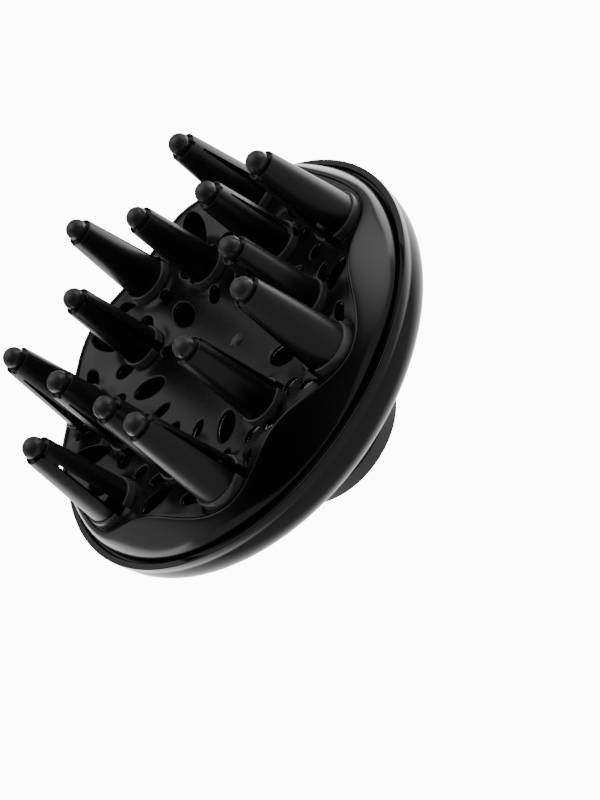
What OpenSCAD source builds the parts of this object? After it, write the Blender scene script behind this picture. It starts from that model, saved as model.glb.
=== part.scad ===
// Hair dryer diffuser: a bowl-shaped bell with a perforated dish plate, two staggered rings of
// hollow slotted fingers with ball tips, and a swivelling collar that pushes on to the dryer's outlet.
// +Z runs along the axis from the collar's end face, at the origin, towards the finger tips.

/* [Bell] */
// Radius of the groove between the bell and the bezel
seam_r = 65; // [60:1:80]
// Height of that groove above the collar's end face
seam_z = 50; // [44:1:62]
// Wall thickness of the bell
bell_wall = 2.2; // [1.8:0.2:2.8]
// How far the bell's lip stands out past the groove
lip_w = 2.4; // [1.6:0.2:4]
// Outer radius of the neck
neck_r = 23.5; // [20:0.5:28]
// Length of the straight part of the neck, above the collar's flange
neck_l = 8; // [6.4:0.2:10]

/* [Bezel] */
// Radial width of the bezel from the groove to the middle of its wavy edge
bezel_w = 5.2; // [4.4:0.2:6.4]
// Height of the middle of the wavy edge above the groove
bezel_h = 9.1; // [7.6:0.1:11]
// How far the wavy edge moves out and in
wave_out = 2.1; // [1:0.1:2.4]
// How far the wavy edge moves down and up
wave_up = 2.7; // [1:0.1:3.2]
// Wall thickness of the bezel at its wavy edge
bezel_wall = 1; // [0.8:0.1:1.4]

/* [Dish plate] */
// Height of the dish's centre above the groove
dish_z = 1.2; // [1:0.2:3]
// Height of the plate's flat rim above the groove
rim_z = 5.6; // [4.8:0.1:6]
// Thickness of the plate
plate_t = 1.4; // [1.2:0.1:2.4]
// Length of the large oval holes
oval_l = 11.8; // [7:0.2:12.4]
// Width of the large oval holes
oval_w = 7; // [4:0.2:7.6]
// Radius of the round holes
round_r = 2.2; // [1.2:0.1:2.4]

/* [Fingers] */
// Fingers in each of the two rings
ring_n = 7; // [5:1:7]
// Length of an outer finger from its seat to its rim
outer_l = 30.6; // [24:0.2:40]
// Length of an inner finger from its seat to its rim
inner_l = 29.2; // [22:0.2:38]
// Radius of the foot of an outer finger
outer_foot_r = 7.9; // [7:0.1:8.4]
// Radius of the foot of an inner finger
inner_foot_r = 7; // [6.2:0.1:7.4]
// Radius of a finger at its rim
rim_r = 4.4; // [4:0.1:5.3]
// Wall thickness of a finger
finger_wall = 1.2; // [1:0.1:1.5]
// Radial distance between the two rings, at the seats
ring_gap = 16.4; // [15.8:0.2:19]
// Lean of the outer fingers towards the axis
outer_lean = 3.4; // [0:0.2:7]
// Lean of the inner fingers towards the axis
inner_lean = 2.4; // [0:0.2:5]
// Radius of the ball tips
ball_r = 3.3; // [2.8:0.1:3.6]

/* [Collar] */
// Radius of the collar's bore, which takes the dryer's outlet
socket_r = 19.6; // [17:0.1:19.6]
// Height of the collar's flange below the neck
flange_h = 5; // [4:0.2:7]
// Radial running clearance between the collar and the neck
swivel_gap = 0.08; // [0.05:0.01:0.1]

/* [Hidden] */
$fn = 96;

step = 360 / ring_n;
cut = 0.5;              // how far a cutter runs past the face that it cuts
fit = 0.05;             // clearance between pieces that are pushed together

// Groove, and the bell's upright ring that the plate rests on and the bezel snaps over
groove_w = 0.8;
groove_d = 1.2;
bezel_out_r = seam_r - groove_w / 2;
skirt_t = 1.8;
ring_low_r = bezel_out_r - skirt_t - fit;
ring_step = 1.7;        // how far the ring steps in above the bezel's skirt
ring_step_z = 1;
ring_out_r = ring_low_r - ring_step;
ring_top = rim_z - plate_t;
ring_wall = 1.6;
ring_root = 3;          // how far the ring runs down below the lip, into the bowl
bead_h = 0.35;          // snap bead on the ring, and its groove in the bezel
bead_z = -0.3;
crest_flare = 1.2;      // how far the bezel's inner wall slopes in below a crest

// Lip and bowl of the bell
lip_r = seam_r + lip_w;
lip_top = 0.4;
lip_under = -3.2;
neck_top = -seam_z + flange_h + neck_l;
bore_r = neck_r - bell_wall + 0.2;
bowl_steps = 24;
bowl_start = [lip_r - 0.8, lip_under];
bowl_out = [bowl_start[0] + 3.4, -16];
bowl_in = [neck_r + 14.5, -27];
bowl_end = [neck_r, neck_top];

// Fingers
pocket_r = seam_r - bezel_w + wave_out;
foot_gap = 0.4;
outer_ring_r = pocket_r - bezel_wall - foot_gap - outer_foot_r;
inner_ring_r = outer_ring_r - ring_gap;
outer_seat = rim_z;
inner_seat = dish_height(inner_ring_r);
foot_h = 2.4;
foot_step = 0.6;        // the foot's ledge around the cone
foot_land = 0.1;        // the plate's boss around the foot
spigot_l = plate_t + 1.6;
chamfer = 0.3;
spigot_step = 2.4;
bead_out = 0.3;
solid_l = 7;            // solid end of a finger below its rim
cup_d = 1.6;
cup_lip = 0.45;
ball_rise = 1.2;        // ball's centre above the rim
stem_r = 1.25;
stem_l = 5;
slot_core = 2.5;        // half the width of what a slot leaves whole
slot_top = 4.2;         // end of a slot below the rim
slot_tip_w = 0.7;
slot_foot_share = 0.52; // slot's width at the foot, over the foot's radius
notch_w = 1.3;
notch_d = 0.9;
outer_turn = [91, 88, 88, 84, 82, 86, 55];
inner_turn = [122, 6, 65, 90, 71, 103, 132];

// Holes of the plate, by how far each stands inside a ring of fingers
oval_in = 23.3;         // large ovals in line with the outer fingers
eye_in = 11.2;          // short oval at the foot of an outer finger
eye_l = 5.2;
eye_w = 4;
side_l = 6.2;           // ovals that point at the feet of the inner fingers
side_w = 4.2;
side_from = 9.3;        // centre of such an oval, from the centre of the foot
side_turn = 62;         // its direction from the radius through the foot
foot_web = 0.7;         // plate left between a foot and the round holes beside it
bay_in = 2.3;           // wide ovals between two outer fingers
bay_share = 0.94;
bay_wider = 0.8;
slit_in = 11;           // small ovals inside the inner fingers
slit_share = 0.56;
hole_reach = 12;        // length of a hole's cutter
gate_x = 3.5;           // shallow round mark near the middle
gate_y = -4.8;
gate_r = 2.2;
gate_d = 0.35;

// Collar, inside the neck
tube_r = bore_r - swivel_gap;
tube_top = flange_h + neck_l + 6;
shelf_z = tube_top - 3.2;
end_gap = 0.2;          // axial clearance of the collar in the neck
ring_groove_d = 0.9;
ring_h = 1.6;
ring_out = 1.3;         // how far the retaining ring stands out past the collar
ring_cut = 6;           // gap in the split retaining ring
grip_z = 9;
grip_h = 3;
grip_d = 0.9;
grip_proud = 0.25;
stop_w = 1.6;
stop_h = 1.6;
socket_l = tube_top - stop_h;
grip_cuts = 12;

function bezier(a, b, c, d, t) =
    pow(1 - t, 3) * a + 3 * pow(1 - t, 2) * t * b + 3 * (1 - t) * t * t * c + pow(t, 3) * d;
function bezier_dir(a, b, c, d, t) =
    pow(1 - t, 2) * (b - a) + 2 * (1 - t) * t * (c - b) + t * t * (d - c);
function unit(v) = v / norm(v);

// Bowl's outline from lip to neck, moved inwards by off
function bowl_point(t, off) =
    let (d = unit(bezier_dir(bowl_start, bowl_out, bowl_in, bowl_end, t)))
    bezier(bowl_start, bowl_out, bowl_in, bowl_end, t) + off * [d[1], -d[0]];
function bowl_line(off) = [for (i = [0:bowl_steps]) bowl_point(i / bowl_steps, off)];

function dish_height(r) = dish_z + (rim_z - dish_z) * pow(min(r, outer_ring_r) / outer_ring_r, 2);

// Section of the bezel where the wave stands at w, from -1 on a crest to 1 in a pocket
function bezel_edge(w) = [seam_r - bezel_w + wave_out * w, bezel_h - wave_up * w];
function bezel_section(w) =
    let (e = bezel_edge(w), foot = [bezel_out_r, 0])
    concat(
        [[bezel_out_r, -groove_d]],
        [for (t = [0:0.125:1]) bezier(foot, foot + [-0.2, 2.6], e + [1.4, -1.2], e + [0.3, -0.1], t)],
        [e + [-0.25, 0.2], e + [-0.8, 0.1], e + [-bezel_wall, -0.6]],
        [[e[0] - bezel_wall - crest_flare * (1 - w) / 2, rim_z + fit],
         [ring_out_r + fit, rim_z + fit],
         [ring_out_r + fit, ring_step_z + ring_step / 2 + fit],
         [ring_low_r + fit, ring_step_z + fit],
         [ring_low_r + fit, bead_z + bead_h + fit],
         [ring_low_r + bead_h + fit, bead_z],
         [ring_low_r + fit, bead_z - bead_h - fit],
         [ring_low_r + fit, -groove_d]]);

module at_seam() {
    translate([0, 0, seam_z]) children();
}

module at_outer(i) {
    rotate([0, 0, (i - 1) * step])
        translate([outer_ring_r, 0, seam_z + outer_seat])
            rotate([0, -outer_lean, 0]) children();
}

module at_inner(i) {
    rotate([0, 0, (i - 0.5) * step])
        translate([inner_ring_r, 0, seam_z + inner_seat])
            rotate([0, -inner_lean, 0]) children();
}

module bell_shell() {
    color([0.03, 0.03, 0.035])
    at_seam() {
        difference() {
            rotate_extrude() polygon(concat(
                [[lip_r - 0.5, lip_top], [lip_r, lip_top - 0.5], [lip_r, lip_top - 1.4]],
                bowl_line(0),
                [[neck_r, -seam_z + flange_h + end_gap],
                 [bore_r, -seam_z + flange_h + end_gap],
                 [bore_r, -seam_z + shelf_z]],
                [for (i = [bowl_steps:-1:5])
                    let (p = bowl_point(i / bowl_steps, bell_wall))
                    if (p[1] > -seam_z + shelf_z && p[0] > tube_r + ring_out + 1) p],
                [[ring_out_r - ring_wall, lip_under - ring_root],
                 [ring_out_r - ring_wall, ring_top],
                 [ring_out_r, ring_top],
                 [ring_out_r, ring_step_z + ring_step / 2],
                 [ring_low_r, ring_step_z],
                 [ring_low_r, bead_z + bead_h],
                 [ring_low_r + bead_h, bead_z],
                 [ring_low_r, bead_z - bead_h],
                 [ring_low_r, -groove_d],
                 [seam_r + groove_w / 2, -groove_d],
                 [seam_r + groove_w / 2, lip_top - 0.3],
                 [seam_r + groove_w / 2 + 0.3, lip_top]]));
            translate([0, 0, -seam_z + shelf_z])
                cylinder(r = tube_r + ring_out + 0.4, h = ring_h + 3);
        }
    }
}

module front_bezel() {
    around = 168;
    sections = [for (i = [0:around - 1]) bezel_section(cos(ring_n * i * 360 / around))];
    m = len(sections[0]);
    points = [for (i = [0:around - 1]) for (p = sections[i])
        [p[0] * cos(i * 360 / around), p[0] * sin(i * 360 / around), p[1]]];
    faces = [for (i = [0:around - 1]) for (j = [0:m - 1])
        let (i2 = (i + 1) % around, j2 = (j + 1) % m)
        [i * m + j, i * m + j2, i2 * m + j2, i2 * m + j]];
    color([0.03, 0.03, 0.035])
    at_seam() polyhedron(points, faces, convexity = 6);
}

// Hole with round ends, along X
module oval(l, w) {
    translate([0, 0, -hole_reach / 2]) linear_extrude(height = hole_reach) union() {
        square([l - w, w], center = true);
        translate([(l - w) / 2, 0]) circle(d = w);
        translate([-(l - w) / 2, 0]) circle(d = w);
    }
}

module plate_holes() {
    foot_angle = 2 * asin((outer_foot_r + foot_land + foot_web + round_r) / outer_ring_r / 2);
    for (i = [0:ring_n - 1]) rotate([0, 0, i * step]) {
        translate([outer_ring_r - oval_in, 0, rim_z]) oval(oval_l, oval_w);
        translate([outer_ring_r - eye_in, 0, rim_z]) oval(eye_l, eye_w);
        for (s = [-1, 1]) {
            rotate([0, 0, step / 2])
                translate([inner_ring_r, 0, rim_z])
                    rotate([0, 0, s * side_turn]) translate([side_from, 0, 0]) oval(side_l, side_w);
            rotate([0, 0, s * foot_angle])
                translate([outer_ring_r, 0, 0]) cylinder(r = round_r, h = hole_reach);
        }
        rotate([0, 0, step / 2]) {
            translate([outer_ring_r - bay_in, 0, rim_z]) oval(oval_l * bay_share, oval_w + bay_wider);
            translate([inner_ring_r - slit_in, 0, rim_z]) oval(oval_l * slit_share, oval_w * slit_share);
        }
    }
}

module dish_plate() {
    color([0.06, 0.06, 0.065])
    difference() {
        union() {
            at_seam() rotate_extrude() polygon(concat(
                [for (r = [0:4:outer_ring_r - 1]) [r, dish_height(r)]],
                [[outer_ring_r, rim_z], [ring_out_r, rim_z], [ring_out_r, rim_z - plate_t],
                 [outer_ring_r, rim_z - plate_t]],
                [for (r = [floor((outer_ring_r - 1) / 4) * 4:-4:0]) [r, dish_height(r) - plate_t]]));
            for (i = [1:ring_n]) {
                at_outer(i) translate([0, 0, -plate_t])
                    cylinder(r = outer_foot_r + foot_land, h = plate_t);
                at_inner(i) translate([0, 0, -plate_t])
                    cylinder(r = inner_foot_r + foot_land, h = plate_t);
            }
        }
        at_seam() plate_holes();
        at_seam() translate([gate_x, gate_y, dish_z - gate_d]) cylinder(r = gate_r, h = plate_t);
        for (i = [1:ring_n]) {
            at_outer(i) seat_cut(outer_foot_r);
            at_inner(i) seat_cut(inner_foot_r);
        }
    }
}

// Clears the plate above a foot, and bores the hole for its spigot
module seat_cut(foot_r) {
    cylinder(r = foot_r + foot_land, h = 6);
    translate([0, 0, -plate_t - 4]) cylinder(r = foot_r - spigot_step + fit, h = plate_t + 5);
}

module finger(l, foot_r, turn) {
    cone_r = foot_r - foot_step;
    spigot_r = foot_r - spigot_step;
    color([0.045, 0.045, 0.05])
    difference() {
        rotate_extrude() polygon([
            [0, l - solid_l],
            [rim_r - finger_wall, l - solid_l],
            [cone_r - finger_wall, foot_h + 0.5],
            [spigot_r - finger_wall, 0],
            [spigot_r - finger_wall, -spigot_l],
            [spigot_r, -spigot_l],
            [spigot_r + bead_out, -spigot_l + 2 * chamfer],
            [spigot_r + bead_out, -plate_t - chamfer],
            [spigot_r, -plate_t - fit],
            [spigot_r, 0],
            [foot_r, 0],
            [foot_r, foot_h - chamfer],
            [foot_r - chamfer, foot_h],
            [cone_r, foot_h],
            [rim_r, l - 0.2],
            [rim_r - 0.15, l],
            [rim_r - cup_lip, l],
            [rim_r - cup_lip, l - cup_d],
            [0, l - cup_d]]);
        translate([0, 0, l + ball_rise]) sphere(r = ball_r + fit);
        translate([0, 0, l + ball_rise - ball_r - stem_l])
            cylinder(r = stem_r + fit, h = stem_l + 2);
        rotate([0, 0, turn]) for (side = [0, 180]) rotate([0, 0, side]) {
            translate([slot_core, 0, 0]) rotate([90, 0, 90]) linear_extrude(height = 10) polygon([
                [-foot_r * slot_foot_share / 2, -spigot_l - cut],
                [foot_r * slot_foot_share / 2, -spigot_l - cut],
                [slot_tip_w / 2, l - slot_top],
                [-slot_tip_w / 2, l - slot_top]]);
            translate([slot_core, -notch_w / 2, l - notch_d]) cube([5, notch_w, notch_d + cut]);
        }
    }
}

module tip(l) {
    color([0.03, 0.03, 0.035])
    translate([0, 0, l + ball_rise]) union() {
        sphere(r = ball_r);
        translate([0, 0, -ball_r - stem_l + fit]) cylinder(r = stem_r, h = stem_l + ball_r / 2);
    }
}

module coupling_collar() {
    color([0.035, 0.035, 0.04])
    rotate_extrude() polygon([
        [socket_r + 0.5, 0],
        [neck_r - 0.6, 0],
        [neck_r, 0.6],
        [neck_r, flange_h],
        [tube_r, flange_h],
        [tube_r, shelf_z + end_gap],
        [tube_r - ring_groove_d, shelf_z + end_gap],
        [tube_r - ring_groove_d, shelf_z + end_gap + ring_h],
        [tube_r, shelf_z + end_gap + ring_h],
        [tube_r, tube_top - 0.4],
        [tube_r - 0.4, tube_top],
        [socket_r - stop_w, tube_top],
        [socket_r - stop_w, socket_l],
        [socket_r, socket_l],
        [socket_r, grip_z + grip_h],
        [socket_r + grip_d, grip_z + grip_h],
        [socket_r + grip_d, grip_z],
        [socket_r, grip_z],
        [socket_r, 0.5]]);
}

module retaining_ring() {
    color([0.6, 0.6, 0.62])
    difference() {
        translate([0, 0, shelf_z + end_gap + fit / 2]) rotate_extrude()
            translate([tube_r - ring_groove_d + fit, 0])
                square([ring_groove_d + ring_out - fit, ring_h - fit]);
        translate([0, -ring_cut / 2, shelf_z - cut])
            cube([neck_r * 2, ring_cut, ring_h + 2]);
    }
}

module grip_ring() {
    color([0.09, 0.09, 0.09])
    difference() {
        translate([0, 0, grip_z + fit / 2])
            cylinder(r = socket_r + grip_d - fit, h = grip_h - fit);
        translate([0, 0, grip_z - cut])
            cylinder(r = socket_r - grip_proud, h = grip_h + 2 * cut);
        for (i = [0:grip_cuts - 1]) rotate([0, 0, i * 360 / grip_cuts])
            translate([socket_r - grip_proud, 0, grip_z - cut]) cylinder(r = 0.5, h = grip_h + 2 * cut, $fn = 24);
    }
}

bell_shell();
front_bezel();
dish_plate();
for (i = [1:ring_n]) {
    at_outer(i) finger(outer_l, outer_foot_r, outer_turn[i - 1]);
    at_inner(i) finger(inner_l, inner_foot_r, inner_turn[i - 1]);
    at_outer(i) tip(outer_l);
    at_inner(i) tip(inner_l);
}
coupling_collar();
retaining_ring();
grip_ring();
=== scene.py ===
import math

import bmesh
import bpy
from mathutils import Matrix, Vector


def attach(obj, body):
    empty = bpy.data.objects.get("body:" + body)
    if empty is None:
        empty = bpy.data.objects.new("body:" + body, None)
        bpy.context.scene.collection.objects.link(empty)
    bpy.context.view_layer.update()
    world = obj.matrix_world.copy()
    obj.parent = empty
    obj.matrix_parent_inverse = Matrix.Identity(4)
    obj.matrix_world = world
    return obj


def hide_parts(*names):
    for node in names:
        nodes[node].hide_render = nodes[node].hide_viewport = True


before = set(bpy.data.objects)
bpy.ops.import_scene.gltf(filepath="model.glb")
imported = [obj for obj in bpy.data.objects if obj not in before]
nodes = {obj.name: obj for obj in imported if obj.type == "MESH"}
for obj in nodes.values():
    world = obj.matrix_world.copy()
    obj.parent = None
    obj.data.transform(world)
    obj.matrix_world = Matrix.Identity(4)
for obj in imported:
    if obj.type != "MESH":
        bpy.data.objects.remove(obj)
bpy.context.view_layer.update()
print("frame loaded,", len(nodes), "nodes")

# Everything is modelled in millimetres and brought to metres when a piece is finished.
mm = 0.001
count = 7                       # fingers in each ring
seamHeight = 50                 # the groove between bell and bezel
roundSteps = 48 * count


# Shader maths.

class Sock:
    # Wraps an output socket, so that expressions on it add Math nodes.
    def __init__(self, tree, out):
        self.tree = tree
        self.out = out

    def maths(self, operation, a, b=0.0):
        return self.tree.add("ShaderNodeMath", {"operation": operation}, {0: a, 1: b})

    def __add__(self, other):
        return self.maths("ADD", self, other)

    def __radd__(self, other):
        return self.maths("ADD", other, self)

    def __sub__(self, other):
        return self.maths("SUBTRACT", self, other)

    def __rsub__(self, other):
        return self.maths("SUBTRACT", other, self)

    def __mul__(self, other):
        return self.maths("MULTIPLY", self, other)

    def __rmul__(self, other):
        return self.maths("MULTIPLY", other, self)


class Tree:
    def __init__(self, owner, shader="Principled BSDF"):
        owner.use_nodes = True
        self.material = owner
        self.nodes = owner.node_tree.nodes
        self.links = owner.node_tree.links
        self.shader = self.nodes[shader]

    def add(self, kind, settings=None, inputs=None, output=0):
        node = self.nodes.new(kind)
        for key, value in (settings or {}).items():
            if key == "stops":
                for element, (position, colour) in zip(node.color_ramp.elements, value):
                    element.position = position
                    element.color = (*colour, 1)
            else:
                setattr(node, key, value)
        for key, value in (inputs or {}).items():
            self.put(node, key, value)
        return Sock(self, node.outputs[output])

    def put(self, node, key, value):
        if isinstance(value, Sock):
            self.links.new(value.out, node.inputs[key])
        else:
            node.inputs[key].default_value = value

    def noise(self, scale, detail):
        place = self.add("ShaderNodeTexCoord", output="Object")
        return self.add("ShaderNodeTexNoise", {}, {"Vector": place, "Scale": scale, "Detail": detail}, "Fac")

    def ramp(self, factor, dark, light):
        return self.add("ShaderNodeValToRGB", {"stops": [(0.3, dark), (0.7, light)]}, {"Fac": factor})

    def bump(self, height, strength, distance):
        return self.add("ShaderNodeBump", {}, {"Height": height, "Strength": strength, "Distance": distance},
                        "Normal")


def plastic(name, look):
    # Moulded plastic: a broad soft change of gloss and colour, and a fine grain in gloss and bump.
    tree = Tree(bpy.data.materials.new(name))
    broad = tree.noise(look["broadScale"], 3)
    fine = tree.noise(look["grainScale"], 2)
    rough = look["rough"] + (broad - 0.5) * look["roughSwing"] + (fine - 0.5) * look["grainRough"]
    tree.put(tree.shader, "Roughness", rough)
    tree.put(tree.shader, "Base Color", tree.ramp(broad, grey(look["dark"]), grey(look["light"])))
    tree.put(tree.shader, "Normal", tree.bump(fine, look["grainStrength"], look["grainDepth"]))
    tree.shader.inputs["Specular IOR Level"].default_value = look["specular"]
    return tree.material


def grey(value):
    return (value, value, value)


glossLook = {"rough": 0.07, "roughSwing": 0.05, "grainRough": 0.02, "broadScale": 60, "grainScale": 900,
             "grainStrength": 0.04, "grainDepth": 0.0001, "dark": 0.0012, "light": 0.002, "specular": 0.5}
insideLook = {**glossLook, "rough": 0.8, "specular": 0.1}
bezelLook = {**glossLook, "rough": 0.14, "roughSwing": 0.06}
plateLook = {**glossLook, "rough": 0.27, "roughSwing": 0.1, "grainScale": 2200, "grainDepth": 0.00003,
             "dark": 0.003, "light": 0.005}
fingerLook = {**glossLook, "rough": 0.33, "roughSwing": 0.08, "grainScale": 3200, "grainStrength": 0.2,
              "dark": 0.008, "light": 0.012}
# The foot ring is the fingers' black plastic painted light grey: a painted sheen standing in for the light
# the ring catches.
footSheenLook = {**glossLook, "rough": 0.32, "dark": 0.1, "light": 0.13}
tipLook = {**glossLook, "rough": 0.24, "roughSwing": 0.08, "grainScale": 2600, "grainStrength": 0.1,
           "dark": 0.03, "light": 0.042}
collarLook = {**glossLook, "rough": 0.14}
gripLook = {**glossLook, "rough": 0.6, "grainScale": 1500, "grainStrength": 0.3, "dark": 0.01, "light": 0.016}

bellBlack = plastic("bellBlack", glossLook)
bellInside = plastic("bellInside", insideLook)
bezelBlack = plastic("bezelBlack", bezelLook)
plateBlack = plastic("plateBlack", plateLook)
fingerBlack = plastic("fingerBlack", fingerLook)
footPaintedSheen = plastic("footPaintedSheen", footSheenLook)
tipBlack = plastic("tipBlack", tipLook)
collarBlack = plastic("collarBlack", collarLook)
gripRubber = plastic("gripRubber", gripLook)

steel = {"grainScale": 1800, "rough": 0.25, "roughSwing": 0.15, "dark": (0.45, 0.45, 0.46),
         "light": (0.6, 0.6, 0.62)}


def springSteel():
    tree = Tree(bpy.data.materials.new("springSteel"))
    grain = tree.noise(steel["grainScale"], 3)
    tree.put(tree.shader, "Roughness", steel["rough"] + grain * steel["roughSwing"])
    tree.put(tree.shader, "Base Color", tree.ramp(grain, steel["dark"], steel["light"]))
    tree.shader.inputs["Metallic"].default_value = 1
    return tree.material


ringSteel = springSteel()
print("materials made")


# Mesh helpers.

def bezier(a, b, c, d, steps):
    points = []
    for i in range(steps + 1):
        t = i / steps
        s = 1 - t
        points.append(tuple(s ** 3 * p + 3 * s * s * t * q + 3 * s * t * t * u + t ** 3 * v
                            for p, q, u, v in zip(a, b, c, d)))
    return points


def smoothStep(t):
    t = min(1.0, max(0.0, t))
    return t * t * (3 - 2 * t)


def outlineInto(bm, points, closed):
    # Points are (radius, height). An open outline starts and ends on the axis.
    verts = [bm.verts.new((x, 0, z)) for x, z in points]
    after = verts[1:] + verts[:1] if closed else verts[1:]
    return verts + [bm.edges.new(pair) for pair in zip(verts, after)]


def spinRound(bm, geom, steps=roundSteps):
    bmesh.ops.spin(bm, geom=geom, axis=(0, 0, 1), cent=(0, 0, 0), angle=math.tau, steps=steps,
                   use_merge=True)


def turned(points, steps=roundSteps):
    # A closed body of revolution from an open outline.
    bm = bmesh.new()
    spinRound(bm, outlineInto(bm, points, False), steps)
    bmesh.ops.remove_doubles(bm, verts=bm.verts[:], dist=0.001)
    bmesh.ops.recalc_face_normals(bm, faces=bm.faces[:])
    return bm


def meshOf(bm, name):
    mesh = bpy.data.meshes.new(name)
    bm.to_mesh(mesh)
    bm.free()
    return mesh


def cutOut(body, cutters):
    # The body's mesh with the cutters' mesh taken away.
    bodyObject = bpy.data.objects.new("body", body)
    cutObject = bpy.data.objects.new("cutters", cutters)
    for o in (bodyObject, cutObject):
        bpy.context.scene.collection.objects.link(o)
    cut = bodyObject.modifiers.new("cut", "BOOLEAN")
    cut.operation = "DIFFERENCE"
    cut.object = cutObject
    cut.solver = "EXACT"
    graph = bpy.context.evaluated_depsgraph_get()
    done = bpy.data.meshes.new_from_object(bodyObject.evaluated_get(graph))
    for o in (bodyObject, cutObject):
        bpy.data.objects.remove(o)
    return done


def finishPiece(bm, name, materials, node, sharp):
    bmesh.ops.remove_doubles(bm, verts=bm.verts[:], dist=0.002)
    bmesh.ops.recalc_face_normals(bm, faces=bm.faces[:])
    bmesh.ops.scale(bm, vec=(mm, mm, mm), verts=bm.verts[:])
    mesh = meshOf(bm, name)
    mesh.shade_smooth()
    mesh.set_sharp_from_angle(angle=math.radians(sharp))
    for material in materials:
        mesh.materials.append(material)
    piece = bpy.data.objects.new(name, mesh)
    bpy.context.scene.collection.objects.link(piece)
    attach(piece, "head")
    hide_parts(node)
    return piece


bell = {"seamRadius": 65, "lip": 2.4, "lipTop": 0.4, "lipSide": -1.2, "lipUnder": -3.2, "lipStep": 0.8,
        "wall": 2.2, "grooveWidth": 0.8, "grooveDepth": 1.2, "neckRadius": 23.5, "neckTop": 13,
        "neckBottom": 5.2, "bore": 21.5, "shelf": 2.8, "ringOut": 61.05, "ringTop": 4.2, "ringRoot": -6,
        "ringWall": 1.6, "bowlOut": (3.4, -16), "bowlIn": (14.5, -27), "bowlSteps": 44, "edgeRound": 0.35,
        "edgeAngle": 32}


def makeBell():
    b = bell
    lipRadius = b["seamRadius"] + b["lip"]
    low = b["neckTop"] - seamHeight
    start = (lipRadius - b["lipStep"], b["lipUnder"])
    bowl = bezier(start, (start[0] + b["bowlOut"][0], b["bowlOut"][1]),
                  (b["neckRadius"] + b["bowlIn"][0], b["bowlIn"][1]), (b["neckRadius"], low), b["bowlSteps"])
    inside = []
    for before, here, after in zip(bowl[9:], bowl[10:], bowl[11:]):
        along = (Vector(after) - Vector(before)).normalized()
        if here[0] > b["bore"] + 4:
            inside.append((here[0] + b["wall"] * along.y, here[1] - b["wall"] * along.x))
    groove = b["seamRadius"] + b["grooveWidth"] / 2
    ringIn = b["ringOut"] - b["ringWall"]
    foot = b["neckBottom"] - seamHeight
    outline = [(groove, -b["grooveDepth"]), (groove, b["lipTop"]), (lipRadius, b["lipTop"]),
               (lipRadius, b["lipSide"])]
    outline += bowl
    outline += [(b["neckRadius"], foot), (b["bore"], foot), (b["bore"], low + b["shelf"])]
    outline += inside[::-1]
    outline += [(ringIn, b["ringRoot"]), (ringIn, b["ringTop"]), (b["ringOut"], b["ringTop"]),
                (b["ringOut"], -b["grooveDepth"])]
    bm = bmesh.new()
    spinRound(bm, outlineInto(bm, outline, True))
    bmesh.ops.translate(bm, vec=(0, 0, seamHeight), verts=bm.verts[:])
    piece = finishPiece(bm, "bellBowl", [bellBlack, bellInside], "bell_shell", 35)
    for face in piece.data.polygons:
        outwards = face.center.xy.normalized()
        if face.normal.xy.dot(outwards) < -0.1:
            face.material_index = 1
    bevel = piece.modifiers.new("edges", "BEVEL")
    bevel.width = b["edgeRound"] * mm
    bevel.segments = 3
    bevel.limit_method = "ANGLE"
    bevel.angle_limit = math.radians(b["edgeAngle"])
    bevel.harden_normals = True


bezel = {"footRadius": 64.6, "edgeRadius": 59.8, "edgeHeight": 9.1, "waveOut": 2.1, "waveUp": 2.7,
         "wall": 0.9, "skirtInner": 62.8, "skirtLow": -1.1, "steps": 20}


def waveAt(angle):
    return math.cos(count * angle)      # 1 at an outer finger, -1 on a crest


def makeBezel():
    b = bezel
    edge = (b["edgeRadius"], b["edgeHeight"])
    steps = b["steps"]
    outside = bezier((b["footRadius"], 0), (b["footRadius"] - 0.2, 2.6), (edge[0] + 1.4, edge[1] - 1.2),
                     (edge[0] + 0.3, edge[1] - 0.1), steps)
    # How much of the wave each point of the outline follows.
    rises = [3 * (i / steps) ** 2 * (1 - i / steps) + (i / steps) ** 3 for i in range(steps + 1)]
    top = [(edge[0] + 0.12, edge[1] + 0.1), (edge[0] - 0.1, edge[1] + 0.18), (edge[0] - 0.4, edge[1] + 0.18),
           (edge[0] - 0.7, edge[1] + 0.05), (edge[0] - b["wall"], edge[1] - 0.2),
           (edge[0] - b["wall"], edge[1] - 1.6)]
    inner = [(b["skirtInner"] - 1.5, 3.4), (b["skirtInner"], b["skirtLow"])]
    points = [(b["footRadius"], b["skirtLow"])] + outside + top + inner
    rise = [0] + rises + [1] * len(top) + [0] * len(inner)
    bm = bmesh.new()
    layer = bm.verts.layers.float.new("rise")
    line = outlineInto(bm, points, True)
    for vert, value in zip(line, rise):
        vert[layer] = value
    spinRound(bm, line)
    for vert in bm.verts:
        wave = waveAt(math.atan2(vert.co.y, vert.co.x)) * vert[layer]
        radius = math.hypot(vert.co.x, vert.co.y)
        grow = (radius + b["waveOut"] * wave) / radius
        vert.co.x *= grow
        vert.co.y *= grow
        vert.co.z += seamHeight - b["waveUp"] * wave
    finishPiece(bm, "bezelRing", [bezelBlack], "front_bezel", 50)


# The fingers' places, and the turn of each about its own axis, in degrees.

ringOuter = {"radius": 52.6, "seat": 5.6, "length": 30.6, "foot": 7.9, "lean": 3.4, "half": 0,
             "turns": [91, 88, 88, 84, 82, 86, 55]}
ringInner = {"radius": 36.2, "seat": 3.28, "length": 29.2, "foot": 7.0, "lean": 2.4, "half": 0.5,
             "turns": [122, 6, 65, 90, 71, 103, 132]}


def seatAngle(ring, i):
    return math.tau * (i + ring["half"]) / count


def seatMatrix(ring, i):
    around = Matrix.Rotation(seatAngle(ring, i), 4, "Z")
    out = Matrix.Translation((ring["radius"], 0, seamHeight + ring["seat"]))
    return around @ out @ Matrix.Rotation(-math.radians(ring["lean"]), 4, "Y")


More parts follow.
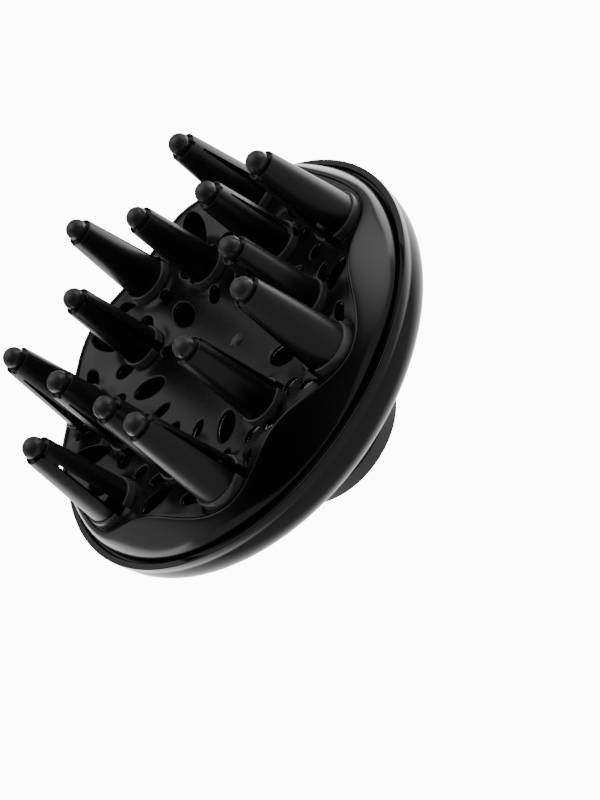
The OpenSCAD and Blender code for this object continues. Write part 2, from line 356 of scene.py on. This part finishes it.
plate = {"thickness": 1.4, "centre": 1.2, "rim": 5.6, "rimSlope": 0.03, "crestRise": 5.6, "riseFrom": 36,
         "riseTo": 58, "warpFrom": 56, "flatRadius": 61, "padEdge": 0.3, "padRise": 0.05, "padBlend": 2.6,
         "rimRound": 0.45, "rings": 72, "edgeOverlap": 0.05}


def dishHeight(x, y):
    # A dish that rises to the bezel's crests, with a flat pad under each foot.
    p = plate
    radius = math.hypot(x, y)
    angle = math.atan2(y, x)
    inner = min(radius, ringOuter["radius"]) / ringOuter["radius"]
    height = p["centre"] + (p["rim"] - p["centre"]) * inner ** 2
    height += p["rimSlope"] * max(0, radius - ringOuter["radius"])
    lift = smoothStep((radius - p["riseFrom"]) / (p["riseTo"] - p["riseFrom"]))
    height += p["crestRise"] * lift * (1 - waveAt(angle)) / 2
    for ring in (ringOuter, ringInner):
        i = round(angle / math.tau * count - ring["half"])
        seat = math.tau * (i + ring["half"]) / count
        out = x * math.cos(seat) + y * math.sin(seat) - ring["radius"]
        side = y * math.cos(seat) - x * math.sin(seat)
        near = 1 - smoothStep((math.hypot(out, side) - ring["foot"] - p["padEdge"]) / p["padBlend"])
        pad = ring["seat"] + p["padRise"] + out * math.tan(math.radians(ring["lean"]))
        height += (pad - height) * near
    return height


def polar(radius, angle):
    return Matrix.Rotation(angle, 4, "Z") @ Matrix.Translation((radius, 0, 0))


def cutterInto(bm, line, place):
    part = turned(line, 40)
    bmesh.ops.transform(part, matrix=place, verts=part.verts[:])
    mesh = meshOf(part, "cutter")
    bm.from_mesh(mesh)
    bpy.data.meshes.remove(mesh)


def hole(bm, length, width, place):
    # A flared oval cutter, so that the hole it leaves has rounded rims.
    r = plate["rimRound"]
    half = plate["thickness"] / 2
    arc = [(width / 2 + r * (1 - math.sin(a)), half - r * (1 - math.cos(a))) for a in
           [math.radians(22.5 * k) for k in range(5)]]
    line = [(0, half + 1), (arc[0][0], half + 1)] + arc
    line += [(x, -z) for x, z in arc[::-1]] + [(arc[0][0], -half - 1), (0, -half - 1)]
    cutterInto(bm, line, place @ Matrix.Diagonal((length / width, 1, 1, 1)))


# Each kind of hole as length, width and distance of its centre. Ovals and eyes are in line with the outer
# fingers, bays and slits with the inner ones. Petals lie around an inner finger, at that distance from it.
holes = {"oval": (11.8, 7.0, 29.3), "eye": (5.2, 4, 41.4), "bay": (11.1, 7.8, 50.3),
         "slit": (6.6, 3.9, 25.2), "petal": (6.2, 4.2, 9.3), "petalTurn": 62, "footSize": 4.4,
         "footAngle": 11.9, "seatStep": 2.2}
gate = {"radius": 5.94, "angle": -53.9, "size": 2.2, "bevel": 0.3, "depth": 0.35}


def plateCutters():
    h = holes
    half = plate["thickness"] / 2
    reach = 2
    cutters = bmesh.new()
    for i in range(count):
        outer = seatAngle(ringOuter, i)
        inner = seatAngle(ringInner, i)
        for kind, angle in (("oval", outer), ("eye", outer), ("bay", inner), ("slit", inner)):
            length, width, radius = h[kind]
            hole(cutters, length, width, polar(radius, angle))
        length, width, away = h["petal"]
        for side in (-1, 1):
            pointing = polar(away, side * math.radians(h["petalTurn"]))
            hole(cutters, length, width, polar(ringInner["radius"], inner) @ pointing)
            beside = outer + side * math.radians(h["footAngle"])
            hole(cutters, h["footSize"], h["footSize"], polar(ringOuter["radius"], beside))
        for ring, angle in ((ringOuter, outer), (ringInner, inner)):
            size = ring["foot"] - h["seatStep"]
            seat = [(0, reach), (size, reach), (size, -reach), (0, -reach)]
            cutterInto(cutters, seat, polar(ring["radius"], angle))
    dentFloor = half - gate["depth"]
    wide = gate["size"] + gate["bevel"]
    narrow = gate["size"] - gate["bevel"]
    dent = [(0, reach), (wide, reach), (wide, half), (narrow, dentFloor), (0, dentFloor)]
    cutterInto(cutters, dent, polar(gate["radius"], math.radians(gate["angle"])))
    return meshOf(cutters, "holes")


def makePlate():
    # A flat disc is pierced first, and then bent into the wavy dish.
    p = plate
    half = p["thickness"] / 2
    rings = p["rings"]
    top = [(p["flatRadius"] * i / rings, half) for i in range(rings + 1)]
    low = [(x, -z) for x, z in top[::-1]]
    bm = bmesh.new()
    bm.from_mesh(cutOut(meshOf(turned(top + low), "disc"), plateCutters()))
    for vert in bm.verts:
        x, y, z = vert.co
        radius = math.hypot(x, y)
        angle = math.atan2(y, x)
        rise = dishHeight(x, y)
        edge = bezel["edgeRadius"] + bezel["waveOut"] * waveAt(angle) - bezel["wall"] + p["edgeOverlap"]
        pull = smoothStep((radius - p["warpFrom"]) / (p["flatRadius"] - p["warpFrom"]))
        grow = (radius + (edge - p["flatRadius"]) * pull) / max(radius, 0.001)
        vert.co = (x * grow, y * grow, z - half + rise + seamHeight)
    finishPiece(bm, "dishPlate", [plateBlack], "dish_plate", 45)


finger = {"wall": 1.2, "rim": 4.4, "footHeight": 2.7, "footStep": 0.6, "solid": 7, "cupDepth": 0.8,
          "cupLip": 0.45, "ball": 3.3, "ballRise": 1.2, "stem": 1.25, "stemLength": 4.9, "slotTop": 4.2,
          "slotTip": 0.7, "slotFootShare": 0.52, "slotCore": 2.5, "notchWidth": 1.3, "notchDepth": 0.9,
          "spigot": 3.0, "spigotStep": 2.4}


def slotCutters(ring):
    # On each side a long slot that narrows towards the tip, and a small notch in the cup's lip.
    f = finger
    low = -f["spigot"] - 1
    high = ring["length"] - f["slotTop"]
    foot = ring["foot"] * f["slotFootShare"] / 2
    tip = f["slotTip"] / 2
    corners = [(foot, low), (tip, high), (tip / 2, high + 0.25), (-tip / 2, high + 0.25), (-tip, high),
               (-foot, low)]
    cutters = bmesh.new()
    for side in (-1, 1):
        face = cutters.faces.new([cutters.verts.new((side * f["slotCore"], y, z)) for y, z in corners])
        out = bmesh.ops.extrude_face_region(cutters, geom=[face])
        moved = [g for g in out["geom"] if isinstance(g, bmesh.types.BMVert)]
        bmesh.ops.translate(cutters, vec=(side * 9, 0, 0), verts=moved)
        box = bmesh.ops.create_cube(cutters, size=1)["verts"]
        bmesh.ops.scale(cutters, vec=(3, f["notchWidth"], 2 * f["notchDepth"]), verts=box)
        bmesh.ops.translate(cutters, vec=(side * (f["rim"] + 0.2), 0, ring["length"]), verts=box)
    bmesh.ops.recalc_face_normals(cutters, faces=cutters.faces[:])
    return meshOf(cutters, "slots")


def fingerMesh(ring):
    f = finger
    l = ring["length"]
    h = f["footHeight"]
    foot = ring["foot"]
    cone = foot - f["footStep"]
    spigot = foot - f["spigotStep"]
    lip = f["rim"] - f["cupLip"]
    bore = spigot - f["wall"]
    outline = [(0, l - f["solid"]), (f["rim"] - f["wall"], l - f["solid"]), (cone - f["wall"], h + 0.5),
               (bore, 0), (bore, -f["spigot"]), (spigot, -f["spigot"]), (spigot, 0),
               (foot, 0), (foot, h - 0.35), (foot - 0.1, h - 0.1), (foot - 0.3, h), (cone + 0.1, h),
               (cone, h - 0.25), (cone - 0.12, h - 0.2), (cone - 0.14, h + 0.1), (f["rim"], l - 0.15),
               (f["rim"] - 0.15, l), (lip + 0.12, l), (lip, l - 0.12), (lip, l - f["cupDepth"]),
               (0, l - f["cupDepth"])]
    mesh = cutOut(meshOf(turned(outline, 72), "finger"), slotCutters(ring))
    # The foot ring's faces get the material with the painted sheen.
    for face in mesh.polygons:
        if -0.1 < face.center.z < h + 0.05 and face.center.xy.length > cone - 0.2:
            face.material_index = 1
    return mesh


def tipMesh(ring):
    f = finger
    r = f["ball"]
    z = ring["length"] + f["ballRise"]
    end = z - r - f["stemLength"]
    ball = [(r * math.cos(math.radians(a)), z + r * math.sin(math.radians(a))) for a in range(85, -71, -5)]
    stem = [(f["stem"], ball[-1][1] - 0.2), (f["stem"], end), (0, end)]
    return meshOf(turned([(0, z + r)] + ball + stem, 64), "tip")


def makeFingers(ring, word):
    body = fingerMesh(ring)
    ball = tipMesh(ring)
    parts = ((body, "finger", [fingerBlack, footPaintedSheen], 30), (ball, "tip", [tipBlack], 40))
    for i in range(count):
        place = seatMatrix(ring, i) @ Matrix.Rotation(math.radians(ring["turns"][i]), 4, "Z")
        for mesh, part, materials, sharp in parts:
            bm = bmesh.new()
            bm.from_mesh(mesh)
            bmesh.ops.transform(bm, matrix=place, verts=bm.verts[:])
            name = f"{word}{part.title()}{i + 1}"
            finishPiece(bm, name, materials, f"{word}_{part}_{i + 1}", sharp)


makeBell()
makeBezel()
print("bell and bezel made")
makePlate()
print("dish plate made")
makeFingers(ringOuter, "outer")
makeFingers(ringInner, "inner")
print("fingers made")

# The collar and its two rings keep the shapes of the frame and get finer materials.
for name, material, slotName in (("coupling_collar", collarBlack, "collar"),
                                 ("retaining_ring", ringSteel, "spring_steel"),
                                 ("grip_ring", gripRubber, "grip")):
    nodes[name].data.materials.clear()
    nodes[name].data.materials.append(material)


# Seen directly the floor is near-white, and the wall behind it grey. What the object mirrors is dark, but
# for a glowing strip of floor beneath it and the soft lights. The wall and the lights are dimmed by "tint".
room = {"seen": 12.0, "glow": 2.6, "glowIn": (-0.07, 0.03), "glowOut": (0.28, 0.1),
        "across": (0.53, 0.85, 0), "dim": 0.04, "narrow": 9, "tint": 0.05, "floorRadius": 6}

# The soft lights by azimuth, elevation and strength.
lights = {"overhead": (0, 90, 12), "highFar": (82, 60, 19), "highRight": (10, 60, 12),
          "far": (60, 33, 3.5), "lowRight": (-36, 8, 36), "lowFarRight": (0, 8, 4), "lowFar": (36, 8, 5),
          "lowFarLeft": (108, 8, 7), "lowLeft": (144, 8, 12), "lowNear": (-108, 8, 2)}


def makeFloor():
    bm = bmesh.new()
    bmesh.ops.create_circle(bm, cap_ends=True, radius=room["floorRadius"], segments=64)
    mesh = meshOf(bm, "floor")
    tree = Tree(bpy.data.materials.new("paleFloor"))
    seen = tree.add("ShaderNodeLightPath", output="Is Camera Ray")
    place = tree.add("ShaderNodeTexCoord", output="Object")
    away = tree.add("ShaderNodeVectorMath", {"operation": "DOT_PRODUCT"},
                    {0: place, 1: room["across"]}, "Value")
    glow = room["glow"]
    for low, high in (room["glowIn"], room["glowOut"]):
        glow = glow * tree.add("ShaderNodeMapRange", {}, {"Value": away, "From Min": low, "From Max": high})
    tree.put(tree.shader, "Emission Color", glow + seen * (room["seen"] - glow))
    tree.shader.inputs["Emission Strength"].default_value = 1
    tree.shader.inputs["Base Color"].default_value = (0.8, 0.8, 0.8, 1)
    tree.shader.inputs["Roughness"].default_value = 0.9
    mesh.materials.append(tree.material)
    floor = bpy.data.objects.new("floor", mesh)
    bpy.context.scene.collection.objects.link(floor)


def makeRoom():
    # Each light is brightest in its own direction and fades out around it.
    world = bpy.data.worlds.new("room")
    bpy.context.scene.world = world
    tree = Tree(world, "Background")
    direction = tree.add("ShaderNodeTexCoord", output="Generated")
    light = room["dim"]
    for azimuth, elevation, strength in lights.values():
        raised = Matrix.Rotation(math.radians(-elevation), 3, "Y") @ Vector((1, 0, 0))
        towards = Matrix.Rotation(math.radians(azimuth), 3, "Z") @ raised
        along = tree.add("ShaderNodeVectorMath", {"operation": "DOT_PRODUCT"},
                         {0: direction, 1: towards}, "Value")
        fade = tree.add("ShaderNodeMath", {"operation": "EXPONENT"}, {0: (along - 1) * room["narrow"]})
        light = fade * strength + light
    seen = tree.add("ShaderNodeLightPath", output="Is Camera Ray")
    tree.put(tree.shader, "Strength", light + seen * (room["seen"] - light))
    tree.shader.inputs["Color"].default_value = (*grey(room["tint"]), 1)


view = {"azimuth": -122.23, "elevation": 35.17, "distance": 0.42914,
        "target": (-0.028855, -0.049771, 0.06), "roll": 55.07, "lens": 74.88}


def makeCamera():
    azimuth = math.radians(view["azimuth"])
    elevation = math.radians(view["elevation"])
    level = math.cos(elevation)
    back = Vector((math.cos(azimuth) * level, math.sin(azimuth) * level, math.sin(elevation)))
    data = bpy.data.cameras.new("camera")
    data.lens = view["lens"]
    data.clip_start = 0.01
    camera = bpy.data.objects.new("camera", data)
    facing = (-back).to_track_quat("-Z", "Y").to_matrix().to_4x4()
    roll = Matrix.Rotation(-math.radians(view["roll"]), 4, "Z")
    camera.matrix_world = Matrix.Translation(Vector(view["target"]) + back * view["distance"]) @ facing @ roll
    bpy.context.scene.collection.objects.link(camera)
    bpy.context.scene.camera = camera


makeFloor()
makeRoom()
makeCamera()
print("studio set")
